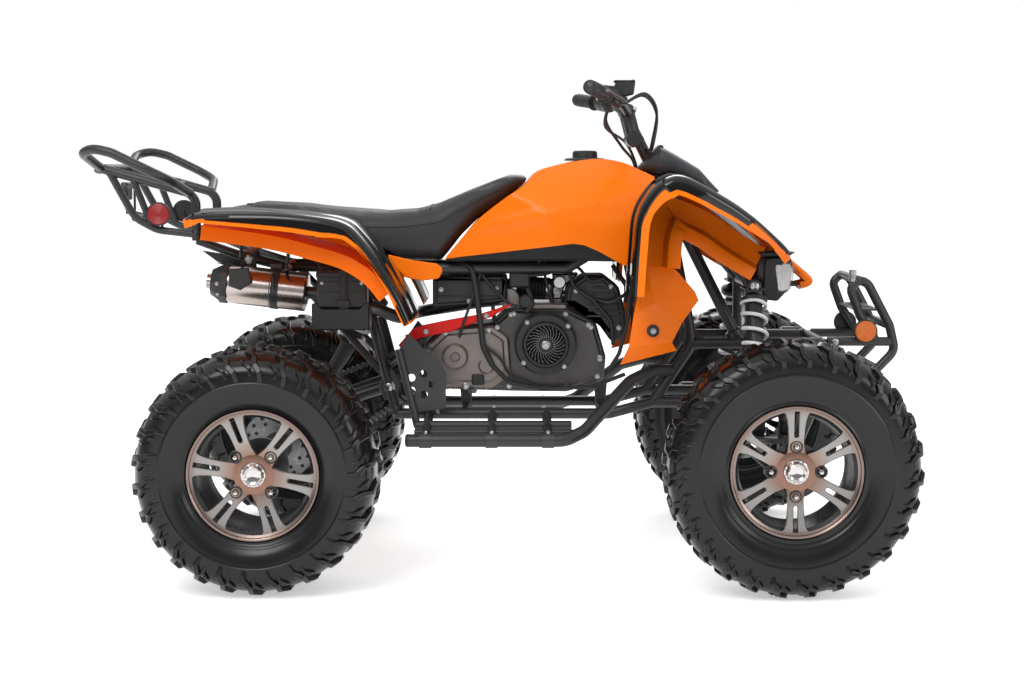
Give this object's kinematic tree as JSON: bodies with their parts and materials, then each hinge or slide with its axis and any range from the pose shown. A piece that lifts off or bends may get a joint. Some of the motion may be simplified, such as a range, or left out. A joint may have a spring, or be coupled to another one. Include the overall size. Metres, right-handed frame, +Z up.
{
  "type": "sport quad bike",
  "caption": "Sport quad bike with moulded body panels, saddle, raised rear rack, front bumper, single rear swing arm, steered front wheels and cast wheels with knobbly tyres.",
  "frame": {"origin": "on the ground, below the centre of the overall length and width", "axes": "+X forwards, +Y to the rider's left, +Z up"},
  "size_m": [1.9209, 1.128, 1.147],
  "materials": {
    "frame_black": "satin",
    "cast_grey": "cast",
    "black_plastic": "matte",
    "brushed_steel": "brushed",
    "vinyl_black": "grained",
    "panel_orange": "gloss",
    "panel_black": "gloss",
    "cowl_grey": "matte",
    "lens_clear": "clear",
    "reflector_red": "prismatic",
    "reflector_amber": "prismatic",
    "zinc_steel": "zinc plated",
    "spring_white": "gloss",
    "guard_red": "gloss",
    "wheel_alloy": "machined with dark pockets",
    "tyre_black": "dressed rubber"
  },
  "bodies": {
    "chassis": {"main_frame": "frame_black", "rear_subframe": "frame_black", "engine": "cast_grey", "fan_cover": "black_plastic", "cylinder_cowl": "black_plastic", "carburettor": "cast_grey", "airbox": "black_plastic", "silencer": "brushed_steel", "battery": "black_plastic", "foot_bars": "frame_black", "heel_guards": "frame_black", "seat": "vinyl_black", "tank_cover": "panel_orange", "rear_fenders": "panel_orange", "rear_fender_trim": "panel_black", "front_fenders": "panel_orange", "front_fender_trim": "panel_black", "front_shrouds": "panel_orange", "instrument_cowl": "cowl_grey", "nose_panel": "panel_orange", "headlight_housings": "black_plastic", "headlight_lenses": "lens_clear", "front_bumper": "frame_black", "rear_rack": "frame_black", "red_reflectors": "reflector_red", "amber_reflectors": "reflector_amber", "front_arms": "frame_black", "dampers": "zinc_steel", "springs": "spring_white", "swing_arm": "frame_black", "chain_guard": "guard_red", "drive_chain": "zinc_steel"},
    "rear_axle": {"rear_axle": "zinc_steel", "rear_rims": "wheel_alloy", "rear_tyres": "tyre_black"},
    "steering": {"handlebar": "frame_black", "bar_controls": "black_plastic"},
    "tie_rod_left": {"tie_rod_left": "zinc_steel"},
    "tie_rod_right": {"tie_rod_right": "zinc_steel"},
    "upright_left": {"upright_left": "zinc_steel"},
    "upright_right": {"upright_right": "zinc_steel"},
    "front_wheel_left": {"front_rim_left": "wheel_alloy", "front_tyre_left": "tyre_black"},
    "front_wheel_right": {"front_rim_right": "wheel_alloy", "front_tyre_right": "tyre_black"}
  },
  "joints": [
    {"name": "rear_axle_spin", "type": "hinge", "parent": "chassis", "child": "rear_axle", "pos_m": [-0.537, 0, 0.275], "axis": [0, 1, 0], "continuous": true},
    {"name": "steering_turn", "type": "hinge", "parent": "chassis", "child": "steering", "pos_m": [0.614, 0, 0.471], "axis": [-0.454, 0, 0.891], "range_deg": [-35, 35]},
    {"name": "tie_rod_left_turn", "type": "hinge", "parent": "steering", "child": "tie_rod_left", "pos_m": [0.53916, 0.016, 0.43286], "axis": [-0.454, 0, 0.891], "range_deg": [-36, 36]},
    {"name": "tie_rod_right_turn", "type": "hinge", "parent": "steering", "child": "tie_rod_right", "pos_m": [0.53916, -0.016, 0.43286], "axis": [-0.454, 0, 0.891], "range_deg": [-36, 36]},
    {"name": "upright_left_turn", "type": "hinge", "parent": "chassis", "child": "upright_left", "pos_m": [0.649, 0.3685, 0.2855], "axis": [0, 0, 1], "range_deg": [-30.5, 30.5]},
    {"name": "upright_right_turn", "type": "hinge", "parent": "chassis", "child": "upright_right", "pos_m": [0.649, -0.3685, 0.2855], "axis": [0, 0, 1], "range_deg": [-30.5, 30.5]},
    {"name": "front_wheel_left_spin", "type": "hinge", "parent": "upright_left", "child": "front_wheel_left", "pos_m": [0.649, 0.4765, 0.2855], "axis": [0, 1, 0], "continuous": true},
    {"name": "front_wheel_right_spin", "type": "hinge", "parent": "upright_right", "child": "front_wheel_right", "pos_m": [0.649, -0.4765, 0.2855], "axis": [0, 1, 0], "continuous": true}
  ],
  "couplings": [
    {"joint": "upright_left_turn", "follows": "steering_turn", "ratio": 0.8571},
    {"joint": "upright_right_turn", "follows": "steering_turn", "ratio": 0.8571},
    {"joint": "tie_rod_left_turn", "follows": "steering_turn", "ratio": -1},
    {"joint": "tie_rod_right_turn", "follows": "steering_turn", "ratio": -1}
  ]
}
